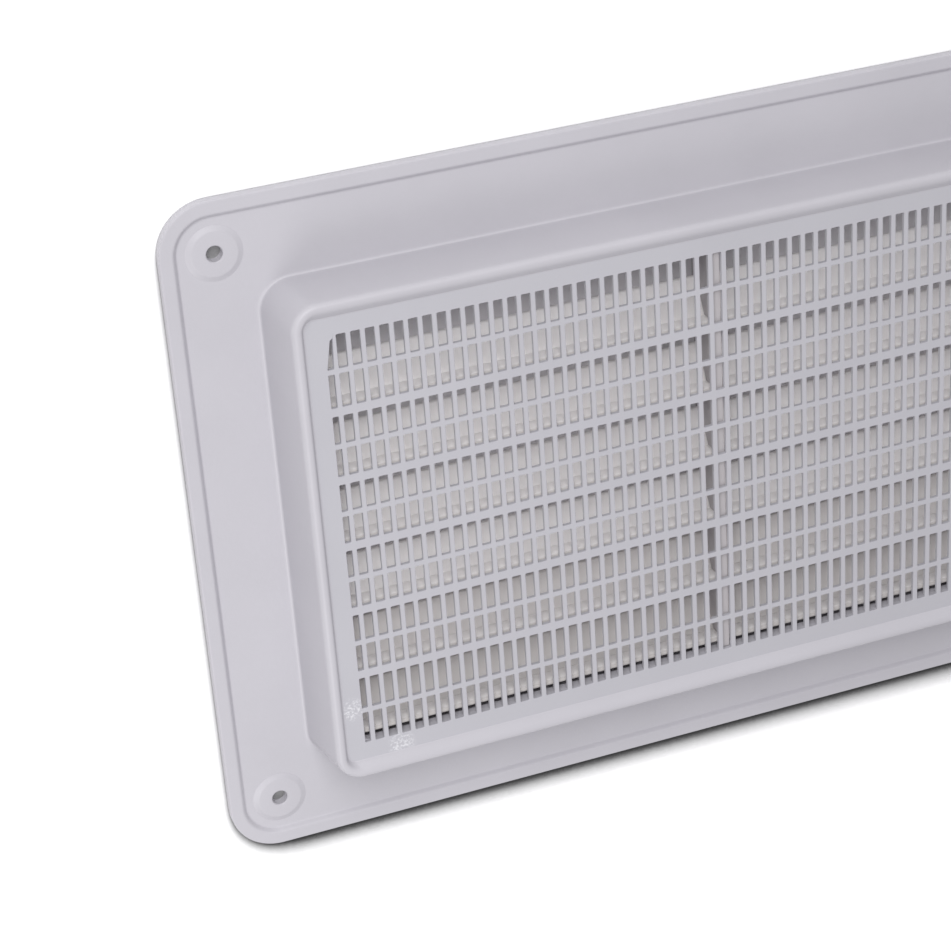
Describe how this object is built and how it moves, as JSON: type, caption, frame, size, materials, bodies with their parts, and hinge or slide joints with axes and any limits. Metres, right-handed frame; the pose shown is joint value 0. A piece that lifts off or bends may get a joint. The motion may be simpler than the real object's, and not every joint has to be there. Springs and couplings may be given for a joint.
{
  "type": "recessed vent grille",
  "caption": "Rectangular flanged vent grille: a slotted screen recessed in the rim of a raised box, with fixed louvre blades in combs behind it.",
  "frame": {"origin": "centre of the four fixing holes, on the flange's back face", "axes": "+X along the length, +Y up the pictured picture, +Z out of the slotted face"},
  "size_m": [0.3, 0.2, 0.0215],
  "materials": {
    "frame_plastic": "satin moulded",
    "screen_plastic": "satin moulded",
    "blade_plastic": "satin moulded",
    "comb_plastic": "satin moulded",
    "screw_steel": "zinc plated"
  },
  "bodies": {
    "root": {"frame": "frame_plastic", "screen_panel": "screen_plastic", "louvre_1": "blade_plastic", "louvre_2": "blade_plastic", "louvre_3": "blade_plastic", "louvre_4": "blade_plastic", "louvre_5": "blade_plastic", "louvre_6": "blade_plastic", "comb_left": "comb_plastic", "comb_centre": "comb_plastic", "comb_right": "comb_plastic", "comb_screws": "screw_steel"}
  },
  "joints": []
}
